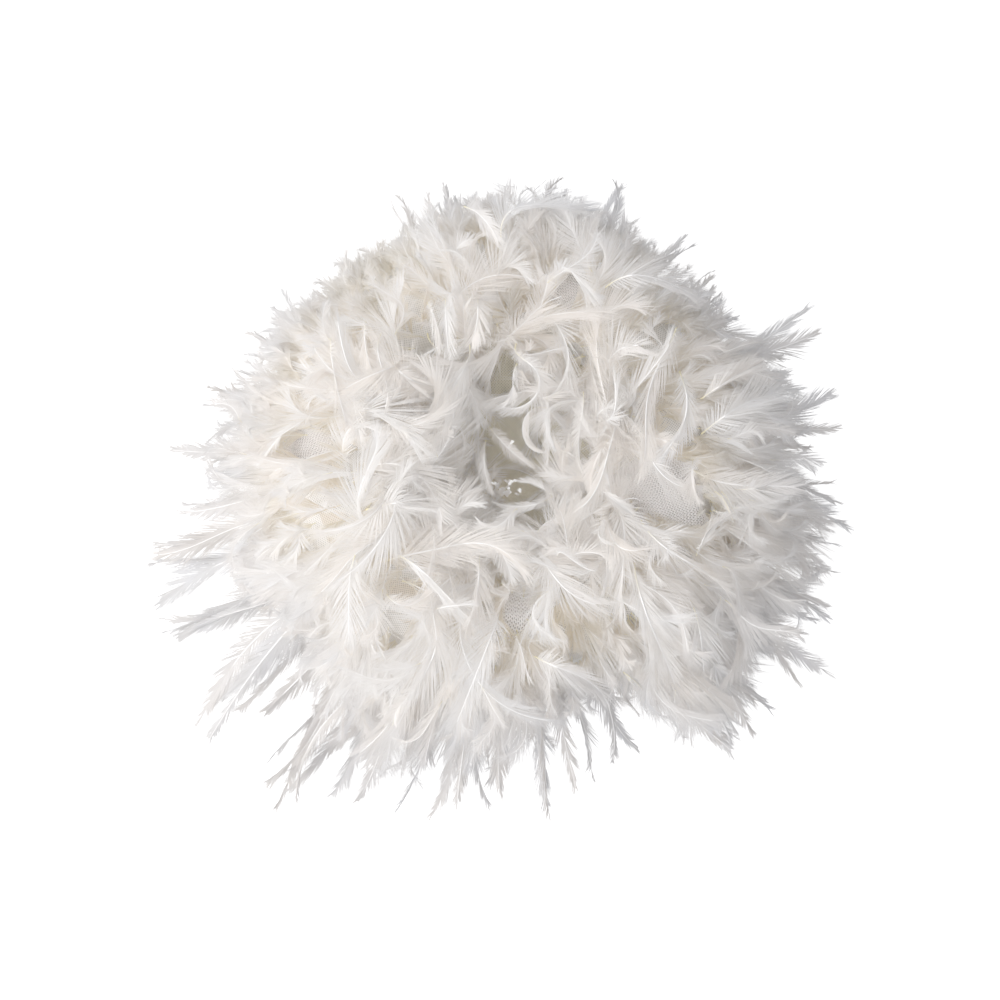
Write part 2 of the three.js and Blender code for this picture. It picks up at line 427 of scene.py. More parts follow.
def between_floor_and_ceiling(points):
    """Flattens softly what stands too high, and what comes too near the floor."""
    z = points[..., 2]
    lowered = np.minimum(z, CEILING) + HEADROOM * np.tanh(np.maximum(z - CEILING, 0) / HEADROOM)
    room = FLOOR_SOFTNESS - FLOOR_CLEARANCE
    lifted = FLOOR_CLEARANCE + room * np.exp((np.minimum(z, FLOOR_SOFTNESS) - FLOOR_SOFTNESS) / room)
    points[..., 2] = np.where(z < FLOOR_SOFTNESS, lifted, lowered)
    return points


# ---- feathers ----

def between(rng, limits, count):
    return rng.uniform(limits[0], limits[1], count)


def grow_paths(rng, layer, roots, normals, headings, lengths):
    """The middle lines of feathers: they leave the surface, bend over to their heading, wave and curl."""
    count = len(roots)
    direction = unit(normals * layer.rise + headings * (1 - layer.rise) + rng.normal(0, 0.12, (count, 3)))
    side = unit(np.cross(headings, (0, 0, 1.0)) + 1e-6)
    wave = rng.normal(0, WAVE_STRENGTH, (count, 2)) * layer.wave
    phase, pace = rng.uniform(0, 6.28, (count, 2)), rng.uniform(0.4, 1.0, (count, 2))
    curl = rng.normal(0, CURL_STRENGTH, (count, 2)) * layer.curl * (rng.random((count, 1)) < CURLED_SHARE)
    points = np.empty((count, PATH_STEPS + 1, 3))
    points[:, 0] = roots
    for step in range(PATH_STEPS):
        t = step / PATH_STEPS
        bend = wave * np.cos(phase + 6.28 * pace * t) + curl * max(0.0, t - CURL_FROM) ** 1.3 * 4
        lift = unit(np.cross(side, direction))
        pull = (headings - direction) * BENDING * math.exp(-((t - 0.35) / 0.3) ** 2)
        turn = pull + side * bend[:, :1] + lift * bend[:, 1:] * 0.6
        turn[:, 2] -= DROOP * t
        direction = unit(direction + turn / PATH_STEPS)
        points[:, step + 1] = points[:, step] + direction * (lengths / PATH_STEPS)[:, None]
    return points


def reach_to(points, reaches):
    """Scales each path about its root until its tip is as far from the ring's axis as it should be."""
    root = points[:, :1]
    start = np.linalg.norm(root[:, 0, :2] - RING_CENTRE, axis=-1)
    far = np.linalg.norm(points[:, -1, :2] - RING_CENTRE, axis=-1)
    least = LEAST_WAY * np.sign(reaches - start)
    went = np.where(np.abs(far - start) < LEAST_WAY, least, far - start)
    scale = np.clip((reaches - start) / went, *STRETCH)
    return root + (points - root) * scale[:, None, None]


def frames_along(points, normals, roll, twist):
    """Tangents, vane normals and vane sides along paths, carried along without spinning, then rolled."""
    tangents = unit(np.gradient(points, axis=1))
    carried = np.empty_like(points)
    current = normals
    for step in range(points.shape[1]):
        along = tangents[:, step]
        current = unit(current - (current * along).sum(-1, keepdims=True) * along)
        carried[:, step] = current
    sides = np.cross(tangents, carried)
    t = np.linspace(0, 1, points.shape[1])
    angle = (roll[:, None] + twist[:, None] * t)[..., None]
    vane_normals = carried * np.cos(angle) + sides * np.sin(angle)
    return tangents, vane_normals, np.cross(tangents, vane_normals)


def sample(along, values):
    """values at the shares along each path, by straight interpolation."""
    place = along * (values.shape[1] - 1)
    low = np.clip(place.astype(int), 0, values.shape[1] - 2)
    share = (place - low)[..., None]
    rows = np.arange(values.shape[0])[:, None]
    return values[rows, low] * (1 - share) + values[rows, low + 1] * share


def grouped(rng, places, most=None):
    """The moods of the group that each barb is in, and how far ahead its middle is, in groups."""
    places = places + rng.random((len(places), 2, 1))
    groups = np.floor(places).astype(int)
    feather, side = np.ogrid[:len(places), :2]
    moods = rng.normal(0, 1, (len(places), 2, (most or groups.max()) + 1, 4))
    return moods[feather[..., None], side[..., None], groups], groups + 0.5 - places


def strands_of(rng, t, lengths):
    """Barbs stick together in fine strands: each one's mood, and how far along its barbs are drawn."""
    moods, ahead = grouped(rng, t * lengths / STRAND_PITCH)
    return moods, ahead * STRAND_PITCH * (0.3 + 0.15 * moods[..., 0])


def clumps_of(rng, t):
    """Strands stick together in clumps: each one's mood, and how far its middle is along the feather."""
    clumps = rng.integers(*CLUMP_COUNTS, (len(t), 2, 1))
    moods, ahead = grouped(rng, t * clumps, CLUMP_COUNTS[1])
    return moods, ahead / clumps


def bowed_ribbons(base, start, along, face, length, drift, lift, sweep, half_width):
    """Tapering ribbons of 7 corners that leave their base, bow towards the tip and sag a little."""
    cells = []
    for reach in BARB_POINTS:
        bow = reach ** 2
        middle = base + length * reach * start + along * (drift * bow + length * bow * sweep)
        middle = middle + face * length * bow * lift
        middle[..., 2] -= length[..., 0] * bow * 0.1
        cells.append(middle)
    cells = np.stack(cells, axis=2)
    width = unit(np.cross(unit(cells[:, :, -1] - cells[:, :, 0]), face))[:, :, None]
    half = half_width * (1 - 0.6 * BARB_POINTS[:3])[None, None, :, None]
    left, right = cells[:, :, :3] - width * half, cells[:, :, :3] + width * half
    pairs = np.stack([left, right], axis=3).reshape(len(base), -1, 6, 3)
    return np.concatenate([pairs, cells[:, :, 3:]], axis=2)


def grow_barbs(rng, layer, points, tangents, vane_normals, sides, fold):
    """Barb ribbons for both sides of every feather, with the tones and shades of their corners."""
    count = len(points)
    lengths = np.linalg.norm(np.diff(points, axis=1), axis=-1).sum(1)
    per_side = min(int(lengths.mean() / BARB_PITCH), MOST_BARBS)
    lengths = lengths[:, None, None]
    shape = (count, 2, per_side)
    t = 0.04 + 0.96 * (np.arange(per_side) + rng.random(shape)) / per_side
    flat_t = t.reshape(count, -1)
    base, along = sample(flat_t, points), unit(sample(flat_t, tangents))
    normal, side = unit(sample(flat_t, vane_normals)), unit(sample(flat_t, sides))
    hand = np.repeat([1.0, -1.0], per_side)[None, :, None]
    fold = fold[:, None, None]
    outward = side * hand * np.cos(fold) + normal * np.sin(fold)
    face = normal * np.cos(fold) - side * hand * np.sin(fold)

    strand, to_strand = strands_of(rng, t, lengths)
    clump, to_clump = clumps_of(rng, t)
    loose = layer.clumping * (0.5 + 1.2 * t ** 2)
    gather = loose * (1 + 0.5 * clump[..., 0])
    swing = np.radians(14) * clump[..., 1] * loose
    ripple = rng.uniform(0.10, 0.30, (count, 2, 1)) * np.sin(
        6.28 * rng.uniform(0.8, 2.4, (count, 1, 1)) * t + rng.uniform(0, 6.28, (count, 2, 1)))
    lift = ripple + 0.3 * clump[..., 2] * loose + 0.06 * strand[..., 1]
    uneven = 1 + 0.35 * clump[..., 3] * loose + 0.08 * strand[..., 2] + rng.normal(0, 0.03, shape)

    widest = between(rng, layer.barb, count)[:, None, None] * np.clip(lengths / USUAL_LENGTH, 0.4, 1.1)
    profile = np.minimum(1, (t / 0.12) ** 0.6) * np.minimum(1, 0.32 + ((1 - t) / 0.45) ** 0.8 * 0.68)
    length = (widest * profile * np.maximum(uneven, 0.3)).reshape(count, -1, 1)
    lean_root = between(rng, layer.lean, count)[:, None, None]
    lean_tip = between(rng, layer.tip_lean, count)[:, None, None]
    lean = np.radians(lean_root + (lean_tip - lean_root) * t ** 1.4) + swing + 0.06 * strand[..., 3]
    lean = lean.reshape(count, -1, 1)
    start = along * np.cos(lean) + outward * np.sin(lean)
    drift = (to_clump * gather * lengths + to_strand).reshape(count, -1, 1)
    sweep = rng.uniform(0.05, 0.3, (count, 1, 1))
    barbs = bowed_ribbons(base, start, along, face, length, drift, lift.reshape(count, -1, 1), sweep,
                          layer.stout * BARB_HALF_WIDTH)
    barbs = within_reach(between_floor_and_ceiling(barbs))

    tone = (0.5 + 0.16 * strand[..., 1] + rng.normal(0, 0.1, shape)).reshape(count, -1)
    shade = np.broadcast_to(rng.random(count)[:, None], tone.shape)
    kept = layer.crosses | (in_opening(barbs).max(2) < rng.uniform(0.0, 0.5, tone.shape) ** 2)
    return barbs[kept], np.repeat(tone[kept], BARB_CORNERS), np.repeat(shade[kept], BARB_CORNERS)


def ribbon_faces(count):
    """Two quads and a triangle for each barb, as loops and face sizes."""
    cell = np.array([0, 1, 3, 2, 2, 3, 5, 4, 4, 5, 6])
    loops = (np.arange(count)[:, None] * BARB_CORNERS + cell).ravel()
    sizes = np.tile([4, 4, 3], count)
    return loops, sizes


def rachis_tubes(points, vane_normals, sides, radius):
    """A thin tapering tube round each path, as vertices and quads."""
    count, steps = points.shape[:2]
    t = np.linspace(0, 1, steps)
    thick = (radius[:, None] * (1.05 - 0.7 * t))[..., None, None]
    angles = np.arange(RACHIS_SIDES) * 2 * math.pi / RACHIS_SIDES
    ring = vane_normals[:, :, None] * np.cos(angles)[:, None] + sides[:, :, None] * np.sin(angles)[:, None]
    vertices = points[:, :, None] + ring * thick
    k, j = np.meshgrid(np.arange(steps - 1), np.arange(RACHIS_SIDES), indexing="ij")
    nxt = (j + 1) % RACHIS_SIDES
    cell = np.stack([k * RACHIS_SIDES + j, k * RACHIS_SIDES + nxt,
                     (k + 1) * RACHIS_SIDES + nxt, (k + 1) * RACHIS_SIDES + j], axis=-1)
    loops = (np.arange(count)[:, None, None, None] * steps * RACHIS_SIDES + cell).ravel()
    tone = np.broadcast_to(t[None, :, None], vertices.shape[:3])
    return vertices.reshape(-1, 3), loops, np.full(len(loops) // 4, 4), tone.ravel()


def in_scene(name, data):
    """A new object of the scene."""
    made = bpy.data.objects.new(name, data)
    bpy.context.scene.collection.objects.link(made)
    return made


def mesh_object(name, parts, materials):
    """One object from parts of (vertices, loops, face sizes, material number, attributes)."""
    vertices, loops, sizes, numbers, attributes = zip(*parts)
    counts = [len(part) for part in vertices]
    loops = [part + offset for part, offset in zip(loops, np.cumsum([0, *counts]))]
    numbers = np.repeat(numbers, [len(part) for part in sizes])
    vertices, loops, sizes = np.concatenate(vertices), np.concatenate(loops), np.concatenate(sizes)
    mesh = bpy.data.meshes.new(name)
    mesh.vertices.add(len(vertices))
    mesh.vertices.foreach_set("co", vertices.astype(np.float32).ravel())
    mesh.loops.add(len(loops))
    mesh.loops.foreach_set("vertex_index", loops.astype(np.int32))
    mesh.polygons.add(len(sizes))
    mesh.polygons.foreach_set("loop_start", (np.cumsum(sizes) - sizes).astype(np.int32))
    mesh.polygons.foreach_set("material_index", numbers.astype(np.int32))
    mesh.polygons.foreach_set("use_smooth", np.ones(len(sizes), bool))
    for key in sorted({key for given in attributes for key in given}):
        values = [np.broadcast_to(given.get(key, 0.0), count) for given, count in zip(attributes, counts)]
        layer = mesh.attributes.new(key, "FLOAT", "POINT")
        layer.data.foreach_set("value", np.concatenate(values).astype(np.float32))
    mesh.update(calc_edges=True)
    for material in materials:
        mesh.materials.append(material)
    return in_scene(name, mesh)


def tuft_reach(node):
    """A tuft's direction round the ring, and its tip's distance from the axis."""
    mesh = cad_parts[node].data
    flat = np.array([v.co[:2] for v in mesh.vertices]) - RING_CENTRE
    rho = np.linalg.norm(flat, axis=1)
    tip = flat[np.argmin(rho) if "_inner_" in node else np.argmax(rho)]
    return math.atan2(tip[1], tip[0]), float(np.linalg.norm(tip))


def sewn_paths(layer, turns, aims, end_at, rng):
    """Middle lines of feathers of one layer, from where they are sewn, and the tube's normals there.

    end_at gives how far from the ring's centre the feathers may reach, by direction.
    """
    count = len(turns)
    angles = np.radians(layer.sewn_at + rng.uniform(-1, 1, count) * layer.sewn_spread)
    roots, normals = tube_surface(turns, angles, 0.0004)
    climb = np.radians(layer.climb + rng.normal(0, 8, count))
    start = np.linalg.norm(roots[:, :2] - RING_CENTRE, axis=1)
    share = between(rng, layer.reach, count)
    onward = (end_at(aims) - start) * share
    way = np.sign(onward)
    headings = np.stack([way * np.cos(aims) * np.cos(climb), way * np.sin(aims) * np.cos(climb),
                         np.sin(climb)], axis=-1)
    points = grow_paths(rng, layer, roots, normals, headings, np.abs(onward) * 1.15 + 0.012)
    tips = points[:, -1, :2] - RING_CENTRE
    far = start + (end_at(np.arctan2(tips[:, 1], tips[:, 0])) - start) * share
    return reach_to(points, far), normals


def layer_paths(layer, row, turn, reach, half_sector, rng):
    """The middle lines of a layer of a tuft, spread over the tuft's sector of the ring."""
    turns = turn + half_sector * rng.uniform(-1.05, 1.05, layer.feathers)
    aims = turns + np.radians(round_ring(SWIRL, turns) + layer.aim_spread * rng.normal(0, 1, layer.feathers))

    def end_at(directions):
        if row in ROW_AT_EDGE:
            return round_ring(EDGE, directions) * ROW_AT_EDGE[row]
        return np.minimum(reach, round_ring(EDGE, directions) - INSIDE_EDGE)

    return sewn_paths(layer, turns, aims, end_at, rng)


def wisp_paths(turn, half_sector, rng):
    """The middle lines of the wisps in a tuft's sector of the ring."""
    directions, reaches = np.array(WISPS).T
    turns = np.radians(directions)
    mine = np.abs((turns - turn + math.pi) % (2 * math.pi) - math.pi) < half_sector
    turns, reaches = np.repeat(turns[mine], 2), np.repeat(reaches[mine] / 1000, 2)
    aims = turns + rng.normal(0, 0.04, len(turns))
    return sewn_paths(WISP, turns, aims, lambda _: reaches, rng)


def curl_paths(curls, turn, half_sector):
    """Smooth middle lines through the points of the curls that start in a tuft's sector of the ring."""
    share = np.linspace(0, 1, PATH_STEPS + 1)
    paths = []
    for points in (np.array(curl) / 1000 for curl in curls):
        start = math.atan2(points[0, 1], points[0, 0])
        if abs((start - turn + math.pi) % (2 * math.pi) - math.pi) > half_sector:
            continue
        gone = np.concatenate([[0], np.cumsum(np.linalg.norm(np.diff(points, axis=0), axis=1))])
        fits = [np.polyfit(gone / gone[-1], column, len(points) - 1) for column in points.T]
        x, y = (np.polyval(fit, share) for fit in fits)
        top = np.interp(np.hypot(x, y), *np.array(TOP_AT).T / 1000)
        z = top * (0.75 + 0.25 * np.minimum(1, share / 0.25)) + 0.004 * np.sin(3 * share)
        paths.append(np.stack([RING_CENTRE[0] + x, RING_CENTRE[1] + y, z], axis=-1))
    return np.array(paths).reshape(-1, PATH_STEPS + 1, 3)


def clinging_paths(layer, long_paths, rng):
    """Middle lines of small feathers that start on the long ones, and the directions they rise in."""
    count = layer.feathers
    parents = long_paths[rng.integers(0, len(long_paths), count)]
    place = between(rng, layer.place, count)[:, None]
    roots = sample(place, parents)[:, 0]
    along = unit(sample(place, np.gradient(parents, axis=1))[:, 0])
    normals = unit(np.array([0, 0, 1.0]) + rng.normal(0, 0.35, (count, 3)))
    headings = unit(along + rng.normal(0, layer.stray, (count, 3)) * np.array([1, 1, 0.4]))
    held = np.clip(np.linalg.norm(parents[:, -1] - parents[:, 0], axis=1) / 0.07, 0.4, 1)
    lengths = between(rng, layer.length, count) * held
    return grow_paths(rng, layer, roots, normals, headings, lengths), normals


def feather_parts(layer, points, normals, rng):
    """The barbs and the rachises of feathers along their middle lines, as mesh parts."""
    points = within_reach(out_of_tube(points, 0.0008))
    clear = layer.crosses | (in_opening(points).max(1) < rng.uniform(0.0, 0.6, len(points)) ** 2)
    points, normals = points[clear], normals[clear]
    count = len(points)
    if count == 0:
        return []
    fold = np.radians(between(rng, layer.fold, count))
    roll = fold * rng.choice([-1.1, 1.1], count) + rng.normal(0, 0.35, count)
    tangents, vane_normals, sides = frames_along(points, normals, roll, rng.normal(0, 0.5, count))
    barbs, tone, shade = grow_barbs(rng, layer, points, tangents, vane_normals, sides, fold)
    loops, sizes = ribbon_faces(len(barbs))
    barbs = barbs.reshape(-1, 3)
    # Masks of painted shade: among the roots, and towards the outline.
    deep, rim = surroundings(barbs)
    barb_part = (barbs, loops, sizes, 0, {"tone": tone, "shade": shade, "deep": deep, "rim": rim})
    lengths = np.linalg.norm(np.diff(points, axis=1), axis=-1).sum(1)
    radius = RACHIS_RADIUS * rng.uniform(0.8, 1.2, count) * np.clip(lengths / USUAL_LENGTH, 0.5, 1)
    vertices, loops, sizes, along = rachis_tubes(points, vane_normals, sides, radius)
    return [barb_part, (vertices, loops, sizes, 1, {"along": along * layer.horn})]


def feather_tuft(node, row, half_sector, rng, materials):
    """All the feathers of one tuft, as one object."""
    turn, reach = tuft_reach(node)
    parts, long_paths = [], []
    for layer in TUFTS[row]:
        if isinstance(layer, Down):
            points, normals = clinging_paths(layer, np.concatenate(long_paths), rng)
        else:
            points, normals = layer_paths(layer, row, turn, reach, half_sector, rng)
            long_paths.append(points)
        parts += feather_parts(layer, points, normals, rng)
    if row == "outer":
        parts += feather_parts(WISP, *wisp_paths(turn, half_sector, rng), rng)
    if row == "top":
        for layer, curls in ((CURL, CURLS), (HOLE_CURL, HOLE_CURLS), (QUILL_END, QUILL_ENDS)):
            points = curl_paths(curls, turn, half_sector)
            parts += feather_parts(layer, points, np.tile((0.0, 0.0, 1.0), (len(points), 1)), rng)
    return mesh_object(node.replace("tuft", "feathers"), parts, materials)


# ---- the knitted tube, its core and its threads ----

def grid_faces(rows, columns, wrap_rows=False, wrap_columns=False):
    """Quads between the points of a grid, as loops and face sizes."""
    r = np.arange(rows if wrap_rows else rows - 1)
    c = np.arange(columns if wrap_columns else columns - 1)
    i, j = np.meshgrid(r, c, indexing="ij")
    following, beside = (i + 1) % rows, (j + 1) % columns
    cell = np.stack([i * columns + j, following * columns + j, following * columns + beside,
                     i * columns + beside], axis=-1)
    return cell.ravel(), np.full(cell.size // 4, 4)


def lumps(turn, angle, pace, seed):
    """Smooth unevenness between -1 and 1 over the ring's surface."""
    rng = np.random.default_rng(seed)
    total = 0
    for _ in range(6):
        around, across = rng.integers(1, pace + 1), rng.integers(1, pace // 3 + 2)
        total = total + np.sin(around * turn + across * angle + rng.uniform(0, 6.28)) / 3
    return np.clip(total, -1, 1)


def ring_surface(name, radius, floor, steps, unevenness, material, closed, seed):
    """A tube round the ring, flat where it rests, open along its slit underneath unless it's closed."""
    around, across = steps
    slit = 0 if closed else SLIT_HALF_ANGLE
    turn = JOIN_TURN + np.linspace(0, 2 * math.pi, around, endpoint=False)[:, None]
    angle = np.linspace(-math.pi / 2 + slit, 1.5 * math.pi - slit, across, endpoint=not closed)[None, :]
    bumpy = radius - TUBE_RADIUS + unevenness * (lumps(turn, angle, 24, seed) - 1) / 2
    points, normals = tube_surface(turn + 0 * angle, angle + 0 * turn, bumpy)
    # Painted shade on the cloth: darker in the gaps and the hole, darkest under the loops in the partings.
    in_gap, under_loops = (np.clip(in_opening(points, places) * 4 + 2, 0, 1)
                           for places in (OPENINGS, PARTINGS))
    shown = np.maximum(GAP_SHADE * in_gap, under_loops)
    if not closed:
        points = points + normals * swell_at(points)[..., None]
    points[..., 2] = np.maximum(points[..., 2], floor)
    loops, sizes = grid_faces(around, across, wrap_rows=True, wrap_columns=closed)
    stitches = {"wale": np.broadcast_to(turn * RING_RADIUS / KNIT_PITCH, points.shape[:2]).ravel(),
                "course": np.broadcast_to(angle * TUBE_RADIUS / KNIT_PITCH, points.shape[:2]).ravel(),
                "shown": shown.ravel()}
    return mesh_object(name, [(points.reshape(-1, 3), loops, sizes, 0, stitches)], [material])


def tubes_along(paths, radius, sides):
    """Closed thin tubes along paths of the same number of points, with a face over each end."""
    count, steps = paths.shape[:2]
    along = unit(np.gradient(paths, axis=1))
    across = unit(np.cross(along, np.roll(along, 1, axis=1) + (0.013, 0.017, 1.0)))
    up = np.cross(along, across)
    angles = np.arange(sides) * 2 * math.pi / sides
    ring = across[:, :, None] * np.cos(angles)[:, None] + up[:, :, None] * np.sin(angles)[:, None]
    vertices = paths[:, :, None] + ring * radius
    cell, _ = grid_faces(steps, sides, wrap_columns=True)
    ends = np.concatenate([np.arange(sides)[::-1], (steps - 1) * sides + np.arange(sides)])
    starts = np.arange(count)[:, None] * steps * sides
    loops = np.concatenate([starts + cell[None], starts + ends[None]], axis=1).ravel()
    sizes = np.tile(np.concatenate([np.full(len(cell) // 4, 4), [sides, sides]]), count)
    return vertices.reshape(-1, 3), loops, sizes


def knit_loops(place, rows, stitches, yarn):
    """Courses of knitted loops. place turns a stitch and a row number, with a height, into a point."""
    t = np.linspace(0, 2 * math.pi * stitches, stitches * LOOP_STEPS + 1)
    paths = []
    for row in range(rows):
        u = t / (2 * math.pi) + 0.17 * np.sin(2 * t)
        v = row - 0.72 * np.cos(t)
        paths.append(place(u, v, 0.45 * np.cos(2 * t)))
    return tubes_along(np.array(paths), yarn, YARN_SIDES)


def knit_patch(name, parting, gauge, material):
    """Real loops over the part of the tube that shows in a parting."""
    turn0 = math.atan2(parting.centre[1], parting.centre[0])
    across0 = float(np.clip((np.linalg.norm(parting.centre) - RING_RADIUS) / TUBE_RADIUS, -0.98, 0.98))
    angle0 = math.acos(across0)
    stitches, rows = (int((half * 2 + PATCH_MARGIN) / gauge) for half in parting.half)
    c, s = math.cos(math.radians(parting.tilt)), math.sin(math.radians(parting.tilt))

    def place(u, v, height):
        x, y = (u - stitches / 2) * gauge, (v - rows / 2) * gauge
        x, y = x + 0.0008 * np.sin(300 * y), y + 0.0014 * np.sin(110 * x + 1) + 0.0004 * np.sin(500 * x)
        along, over = x * c - y * s, x * s + y * c
        angle = angle0 - over / TUBE_RADIUS
        rho = RING_RADIUS + TUBE_RADIUS * math.cos(angle0)
        points, normals = tube_surface(turn0 + along / rho, angle, 0.0004 + height * gauge * 0.35)
        return points + normals * swell_at(points)[..., None]

    vertices, loops, sizes = knit_loops(place, rows, stitches, gauge * YARN_SHARE)
    return mesh_object(name, [(vertices, loops, sizes, 0, {})], [material])


def hung_point(x, y, lift):
    """Points of the slack net, which hangs across the bottom of the hole like a bag and is crumpled."""
    sag = (x / 0.05) ** 2 + ((y + 0.01) / 0.055) ** 2
    crumple = 0.0022 * np.sin(x * 160) * np.sin(y * 190) + 0.0012 * np.sin(x * 420 + y * 260)
    z = 0.006 + 0.018 * np.minimum(sag, 2.2) + crumple + lift
    inside = np.minimum(1, SLACK_REACH / np.maximum(np.hypot(x, y), 0.001))
    x, y = RING_CENTRE[0] + x * inside, RING_CENTRE[1] + y * inside
    return np.stack([x, y, np.maximum(z, SLACK_FLOOR)], axis=-1)


def in_ladder(x, y):
    """Where the slack net has laddered and the floor shows through it."""
    torn = np.zeros(np.shape(x), bool)
    for centre_x, centre_y, size in np.array(LADDERS) / 1000:
        bearing = np.arctan2(y - centre_y, x - centre_x)
        ragged = 1 + 0.35 * np.sin(2 * bearing + centre_x * 900) + 0.2 * np.sin(5 * bearing)
        torn |= np.hypot(x - centre_x, (y - centre_y) * 1.3) < size * ragged
    return torn


def without_ladders(vertices, loops, sizes):
    """Leaves out the faces of loops that have run in a ladder."""
    ends = np.cumsum(sizes)
    first = vertices[loops[ends - sizes]]
    kept = ~in_ladder(first[:, 0] - RING_CENTRE[0], first[:, 1] - RING_CENTRE[1])
    return vertices, loops[np.repeat(kept, sizes)], sizes[kept]


def hole_net(name, cloth, yarn):
    """The slack side of the tube that has slipped across the bottom of the hole, and its loops."""
    x, y = np.meshgrid(np.linspace(-0.056, 0.060, 224), np.linspace(-0.052, 0.068, 232), indexing="ij")
    points = hung_point(x, y, 0.0)
    loops, sizes = grid_faces(*x.shape)
    quads = loops.reshape(-1, 4)
    whole = ~in_ladder(x.ravel()[quads].mean(1), y.ravel()[quads].mean(1))
    shaded = GAP_SHADE * np.clip(1.3 - np.hypot((x - 0.006) / 0.024, (y + 0.018) / 0.018), 0, 1)
    stitches = {"wale": x.ravel() / KNIT_PITCH, "course": y.ravel() / KNIT_PITCH, "shown": shaded.ravel()}
    cloth_part = (points.reshape(-1, 3), quads[whole].ravel(), sizes[whole], 0, stitches)
    sheet = mesh_object(name, [cloth_part], [cloth])

    def place(u, v, height):
        loop_x, loop_y = (u - 25) * KNIT_PITCH + 0.001, (v - 30) * KNIT_PITCH
        return hung_point(loop_x, loop_y, 0.0005 + height * KNIT_PITCH * 0.3)

    vertices, loops, sizes = without_ladders(*knit_loops(place, 69, 51, KNIT_PITCH * SLACK_YARN_SHARE))
    over = mesh_object(f"{name}_loops", [(vertices, loops, sizes, 0, {})], [yarn])
    finish(sheet, "net")
    finish(over, "net")


def twisted_cord(name, rho, z, radius, gap, material):
    """Two plies of yarn twisted round each other, round the ring except across the join."""
    gap = math.radians(gap)
    turn = np.linspace(JOIN_TURN + gap, JOIN_TURN + 2 * math.pi - gap, CORD_STEPS)
    twist = turn * rho / CORD_LAY * 2 * math.pi
    plies = []
    for ply in (0, math.pi):
        reach = radius * 0.52
        plies.append(on_ring(rho + reach * np.cos(twist + ply), turn, z + reach * np.sin(twist + ply)))
    vertices, loops, sizes = tubes_along(np.array(plies), radius * 0.46, CORD_SIDES)
    return mesh_object(name, [(vertices, loops, sizes, 0, {})], [material])


def join_band(name, offset, wall, width, end_z, ribs, material):
    """A ribbed band over the tube at the join, with thickness, from low on one side to low on the other."""
    side = math.asin((TUBE_CENTRE_Z - end_z) / (TUBE_RADIUS + offset))
    angle = np.linspace(-side, math.pi + side, 60)[:, None]
    across = np.linspace(-0.5, 0.5, ribs * 6 + 1)
    rib = wall * (0.72 + 0.28 * np.abs(np.sin(math.pi * ribs * (across + 0.5))))
    u = np.concatenate([across, across[::-1]])[None, :]
    lift = np.concatenate([offset + rib, np.full(len(across), offset)])[None, :]
    rho = RING_RADIUS + TUBE_RADIUS * np.cos(angle)
    points, _ = tube_surface(JOIN_TURN + u * width / rho, angle + 0 * u, lift + 0 * angle)
    loops, sizes = grid_faces(60, u.size, wrap_columns=True)
    ends = np.concatenate([np.arange(u.size), 59 * u.size + np.arange(u.size)[::-1]])
    loops = np.concatenate([loops, ends])
    sizes = np.concatenate([sizes, [u.size, u.size]])
    return mesh_object(name, [(points.reshape(-1, 3), loops, sizes, 0, {})], [material])


def finish(piece, slot, *nodes):
    """Every piece rides on the one body, and may stand for CAD nodes, which are hidden."""
    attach(piece, "root")
    if nodes:
        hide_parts(*nodes)


def core_roll(wadding):
    """The soft roll inside the tube, which keeps it round and full."""
    core = ring_surface("core_wadding", radius=0.0254, floor=0.0034, steps=(420, 96), unevenness=0.0016,
                        material=wadding, closed=True, seed=3)
    finish(core, "core", "core_roll")


def knitted_tube(net, yarn):
    """The knitted tube over the core, and real loops over it where the feathers part."""
    patches = []
    for number, parting in enumerate(PARTINGS, 1):
        gauge = COARSE_PITCH if number == 2 else KNIT_PITCH
        patches.append(knit_patch(f"knit_loops_{number}", parting, gauge, yarn))
        finish(patches[-1], "net")
    tube = ring_surface("knit_net", radius=TUBE_RADIUS - 0.0003, floor=0.0, steps=(560, 150),
                        unevenness=0.0009, material=net, closed=False, seed=5)
    finish(tube, "net", "knit_tube")


def sewing_threads(thread):
    """A cord along the roots of each row of tufts, and the seam that closes the tube's slit."""
    for row in TUFTS:
        low, high = (np.array(corner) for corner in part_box(f"stitch_cord_{row}"))
        rho = (high[0] - low[0]) / 2 - 0.001
        cord = twisted_cord(f"sewing_cord_{row}", rho, (low[2] + high[2]) / 2, radius=0.0004, gap=11,
                            material=thread)
        finish(cord, "thread", f"stitch_cord_{row}")
    seam = twisted_cord("slit_seam", RING_RADIUS, z=0.0016, radius=0.0011, gap=0.5, material=thread)
    finish(seam, "thread", "seam_thread")


def join_bands(binding, thread):
    """The band over the place where the tube's ends meet, and the thread wound round the core's join."""
    ribbon = join_band("join_ribbon", offset=0.0009, wall=0.0012, width=0.024, end_z=0.006, ribs=14,
                       material=binding)
    finish(ribbon, "binding", "join_binding")
    winding = join_band("core_winding", offset=-0.0037, wall=0.0012, width=0.018, end_z=0.006, ribs=12,
                        material=thread)
    finish(winding, "thread", "core_lashing")


# ---- materials ----

WHITE = (1.0, 1.0, 1.0)
BLACK = (0.0, 0.0, 0.0)
CLOTH = {"Roughness": 0.85, "Sheen Weight": 0.2}


def feed(tree, node, inputs):
    """Links a node's inputs to sockets, or sets them to values."""
    for key, given in inputs.items():
        if isinstance(given, bpy.types.NodeSocket):
            tree.links.new(given, node.inputs[key])
        else:
            node.inputs[key].default_value = given


def add_node(tree, kind, inputs, **settings):
    """A node with its settings and its inputs."""
    node = tree.nodes.new(kind)
    for setting, value in settings.items():
        setattr(node, setting, value)
    feed(tree, node, inputs)
    return node


def new_material(name):
    """A material, its node tree and its shader."""
    material = bpy.data.materials.new(name)
    material.use_nodes = True
    return material, material.node_tree, material.node_tree.nodes["Principled BSDF"]


def attribute(tree, name):
    return add_node(tree, "ShaderNodeAttribute", {}, attribute_name=name).outputs["Fac"]


